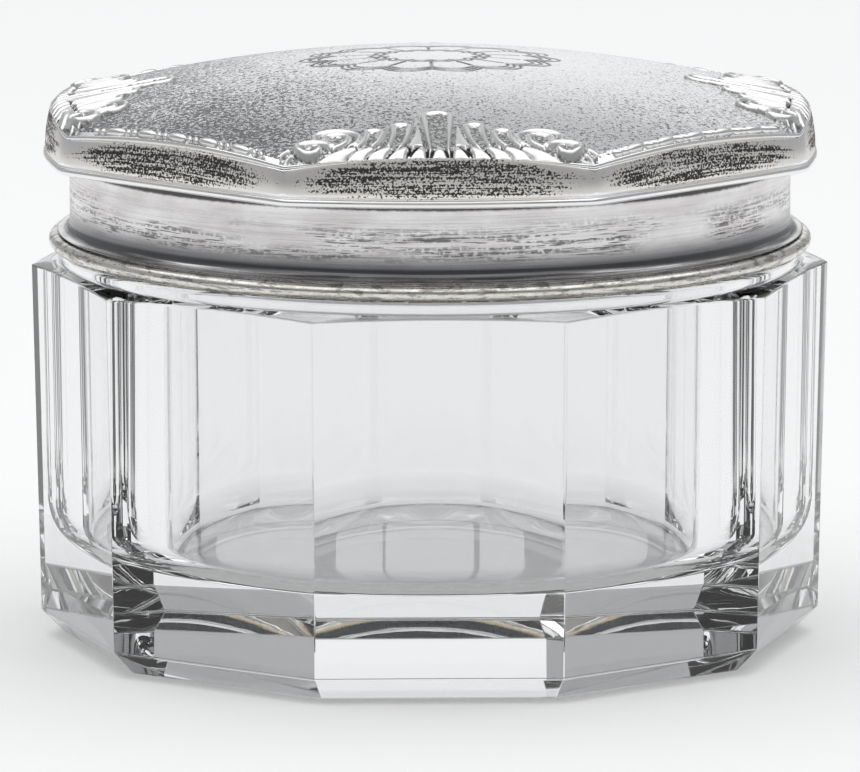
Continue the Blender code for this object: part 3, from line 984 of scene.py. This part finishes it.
def skirt_marks(n, rise, ragged):
    """Long thin and short wide scratches round the middle of the skirt, in patches."""
    lines = thin_lines(n, n.coords((1.0, 1.0, 34.0), "strip"), 30.0, 0.06, 4.0)
    lines = n.math("MULTIPLY", lines, n.remap(ragged, 0.38, 0.55))
    short = n.remap(n.noise(n.coords((1.0, 1.0, 16.0), "strip"), 230.0, 3.0, 0.6), 0.56, 0.61)
    where = n.remap(n.noise(n.coords((1.0, 1.0, 4.0), "strip"), 45.0, 2.0), 0.34, 0.52)
    middle = n.math("MULTIPLY", n.remap(rise, 0.18, 0.3), n.remap(rise, 0.78, 0.5))
    return n.math("MULTIPLY", n.math("MAXIMUM", lines, short), n.math("MULTIPLY", where, middle), True)


def skirt_material():
    """Brushed silver with scratches, painted shade in the cove at its foot and a painted shadow line under
    the lid's rim.
    """
    n = Nodes("skirt_silver")
    rise = n.number("rise")
    ragged = n.noise(n.coords(), 1500.0, 2.0, 0.6)
    marks = skirt_marks(n, rise, ragged)
    brushed = n.noise(n.coords((1.0, 1.0, 60.0), "strip"), 60.0, 4.0, 0.6)
    tint = n.remap(n.noise(n.coords((1.0, 1.0, 2.0), "strip"), 120.0, 3.0), 0.35, 0.7)
    colour = n.mix(tint, (0.80, 0.79, 0.79, 1.0), (0.68, 0.65, 0.65, 1.0))
    colour = n.mix(n.math("MULTIPLY", n.remap(brushed, 0.45, 0.7), 0.25), colour, (0.5, 0.48, 0.48, 1.0))
    cove = n.math("ADD", rise, n.swing(brushed, 0.16))
    cove_dark = n.math("MULTIPLY", n.remap(cove, 0.42, 0.12), n.remap(cove, 0.0, 0.06))
    colour = n.mix(n.math("MULTIPLY", cove_dark, 0.9), colour, COVE_SHADE)
    colour = n.mix(n.math("MULTIPLY", marks, 0.85), colour, SKIRT_MARKS)
    # painted shadow: a near-black band near the skirt's top, in the gap under the lid's rim
    shadow_under_rim = n.remap(n.math("ADD", rise, n.swing(ragged, 0.03)), 0.85, 0.885)
    colour = n.mix(n.math("MULTIPLY", shadow_under_rim, 0.92), colour, PAINTED_SHADOW_LINES)
    n.feed(n.shader.inputs["Base Color"], colour)
    n.shader.inputs["Metallic"].default_value = 1.0
    n.feed(n.shader.inputs["Roughness"], n.remap(brushed, 0.3, 0.7, 0.18, 0.32))
    n.feed(n.shader.inputs["Normal"], n.bump(brushed, 0.3, 0.00005))
    return n.material


def bead_material():
    """Spotted silver, tan near its lower edge, with painted shade at the lower edge itself."""
    n = Nodes("bead_silver")
    rise = n.number("rise")
    grains = n.noise(n.coords(), 700.0, 4.0, 0.6)
    spots = n.remap(n.noise(n.coords((1.0, 1.0, 6.0), "strip"), 420.0, 4.0, 0.65), 0.52, 0.58)
    colour = n.mix(n.remap(grains, 0.3, 0.7), (0.80, 0.785, 0.75, 1.0), (0.68, 0.655, 0.61, 1.0))
    colour = n.mix(n.math("MULTIPLY", spots, 0.7), colour, (0.2, 0.185, 0.175, 1.0))
    colour = n.mix(n.remap(rise, 0.2, 0.1), colour, (0.5, 0.42, 0.3, 1.0))
    # painted shade along the bead's lower edge, over the glass shoulder
    colour = n.mix(n.remap(rise, 0.06, 0.02), colour, (0.10, 0.108, 0.12, 1.0))
    n.feed(n.shader.inputs["Base Color"], colour)
    n.shader.inputs["Metallic"].default_value = 1.0
    n.feed(n.shader.inputs["Roughness"], n.remap(grains, 0.3, 0.7, 0.2, 0.36))
    n.feed(n.shader.inputs["Normal"], n.bump(grains, 0.15, 0.00004))
    return n.material


def inner_material():
    n = Nodes("inner_silver")
    cloud = n.noise(n.coords(), 150.0, 4.0, 0.6)
    colour = n.mix(n.remap(cloud, 0.3, 0.7), (0.66, 0.64, 0.61, 1.0), (0.4, 0.37, 0.34, 1.0))
    n.feed(n.shader.inputs["Base Color"], colour)
    n.shader.inputs["Metallic"].default_value = 1.0
    n.feed(n.shader.inputs["Roughness"], n.remap(cloud, 0.3, 0.7, 0.3, 0.5))
    return n.material


def glass_material():
    n = Nodes("lead_crystal")
    ripple = n.noise(n.coords((1.0, 1.0, 0.5)), 60.0, 2.0, 0.5)
    n.shader.inputs["Base Color"].default_value = (0.908, 0.913, 0.916, 1.0)
    n.shader.inputs["Roughness"].default_value = 0.0
    n.shader.inputs["IOR"].default_value = 1.55
    n.shader.inputs["Transmission Weight"].default_value = 1.0
    n.feed(n.shader.inputs["Normal"], n.bump(ripple, 0.03, 0.0004))
    return n.material


# ---------------------------------------------------------------- stage

CAMERA_R = 1.3663                 # plan distance from the jar's axis
CAMERA_H = 0.26471
CAMERA_TURN = math.radians(1.42)
CAMERA_DOWN = math.radians(9.515)
SENSOR = 36.0
LENS = 404.2
FLOOR_LOW = -0.3 * MM             # the cut foot stands a hair above the table
FLOOR_R = 12.0
FLOOR_ALBEDO = 0.78
FLOOR_GLOW = 0.27                 # a little light of the floor's own, even all over
SURROUND = (0.24, 0.42)           # brightness of the room in front of the jar and behind it
SURROUND_Y = (-0.7, 0.5)          # from the first to the second, by the view's direction along Y
SURROUND_TINT = (0.955, 0.98, 1.0, 1.0)


def camera():
    data = bpy.data.cameras.new("camera")
    data.sensor_width = SENSOR
    data.lens = LENS
    data.clip_end = 50.0
    obj = bpy.data.objects.new("camera", data)
    obj.location = (-CAMERA_R * math.sin(CAMERA_TURN), -CAMERA_R * math.cos(CAMERA_TURN), CAMERA_H)
    obj.rotation_euler = (math.pi / 2.0 - CAMERA_DOWN, 0.0, -CAMERA_TURN)
    bpy.context.scene.collection.objects.link(obj)
    bpy.context.scene.camera = obj


def floor():
    """A plain, flat, pale floor."""
    bpy.ops.mesh.primitive_circle_add(vertices=96, radius=FLOOR_R, fill_type="NGON")
    obj = bpy.context.object
    obj.location.z = FLOOR_LOW
    obj.name = "floor"
    n = Nodes("floor")
    n.shader.inputs["Base Color"].default_value = (FLOOR_ALBEDO, FLOOR_ALBEDO, FLOOR_ALBEDO, 1.0)
    n.shader.inputs["Roughness"].default_value = 0.9
    n.shader.inputs["Specular IOR Level"].default_value = 0.0
    n.shader.inputs["Emission Color"].default_value = (1.0, 1.0, 1.0, 1.0)
    n.shader.inputs["Emission Strength"].default_value = FLOOR_GLOW
    obj.data.materials.append(n.material)


def area(name, location, target, size, power):
    """A soft rectangular light that faces its target."""
    data = bpy.data.lights.new(name, "AREA")
    data.shape = "RECTANGLE"
    data.size, data.size_y = size
    data.energy = power
    obj = bpy.data.objects.new(name, data)
    obj.location = location
    obj.rotation_euler = (Vector(target) - Vector(location)).to_track_quat("-Z", "Y").to_euler()
    obj.visible_camera = False
    bpy.context.scene.collection.objects.link(obj)


def lights():
    """A soft room, darker in front of the jar, a pale panel far behind it and a large soft box above."""
    world = bpy.data.worlds.new("world")
    world.use_nodes = True
    tree = world.node_tree
    split = tree.nodes.new("ShaderNodeSeparateXYZ")
    tree.links.new(tree.nodes.new("ShaderNodeTexCoord").outputs["Generated"], split.inputs[0])
    ramp = tree.nodes.new("ShaderNodeMapRange")
    ramp.interpolation_type = "SMOOTHSTEP"
    tree.links.new(split.outputs["Y"], ramp.inputs["Value"])
    for socket, given in zip(ramp.inputs[1:5], (*SURROUND_Y, *SURROUND)):
        socket.default_value = given
    background = tree.nodes["Background"]
    background.inputs["Color"].default_value = SURROUND_TINT
    tree.links.new(ramp.outputs["Result"], background.inputs["Strength"])
    bpy.context.scene.world = world
    area("back_panel", (0.0, 1.5, 0.42), (0.0, 0.0, 0.05), (0.85, 0.8), 1.15)
    area("soft_box", (0.0, -0.1, 1.35), (0.0, -0.1, 0.0), (2.6, 2.4), 21.0)


def light_paths_and_colour():
    """Enough bounces for light to leave the cut glass, and plain display colour."""
    scene = bpy.context.scene
    scene.view_settings.view_transform = "Standard"
    scene.view_settings.look = "None"
    scene.cycles.max_bounces = 40
    scene.cycles.transmission_bounces = 36
    scene.cycles.glossy_bounces = 8
    scene.cycles.use_denoising = True


camera()
floor()
lights()
light_paths_and_colour()
glass_body()
lid_dome()
lid_skirt()
skirt_bead()
lid_rim_plate()
ornament = ornament_material()
for turn, place in enumerate(("front", "right", "back", "left")):
    node = "shell_" + place
    shell(node + "_relief", node, turn * math.pi / 2.0, ornament)
for turn, place in enumerate(("front_right", "back_right", "back_left", "front_left")):
    node = "reed_border_" + place
    reed_border(node + "_bound", node, (turn * 2 - 1) * SECTION, ornament)
